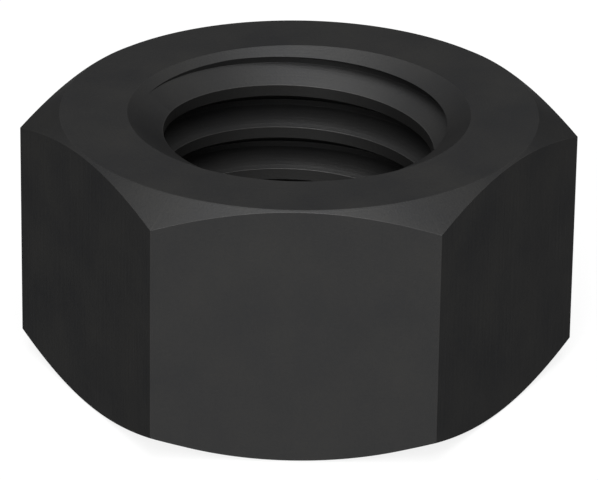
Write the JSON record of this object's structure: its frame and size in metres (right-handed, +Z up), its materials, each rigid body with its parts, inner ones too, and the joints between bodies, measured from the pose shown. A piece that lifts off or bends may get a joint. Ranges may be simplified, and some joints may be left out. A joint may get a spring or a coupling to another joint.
{
  "type": "plow nut",
  "caption": "Hexagonal steel nut with a coarse right-hand thread, chamfered and countersunk on both faces, for fastening wearing edges with plow bolts.",
  "frame": {"origin": "centre of the lower bearing face, on the axis of the thread", "axes": "+Z up along the thread's axis, +X through a corner of the hexagon, and +Y square to a pair of flats"},
  "size_m": [0.0274, 0.0238, 0.0132],
  "materials": {
    "black_finish": "satin"
  },
  "bodies": {
    "root": {"plow_nut": "black_finish"}
  },
  "joints": []
}
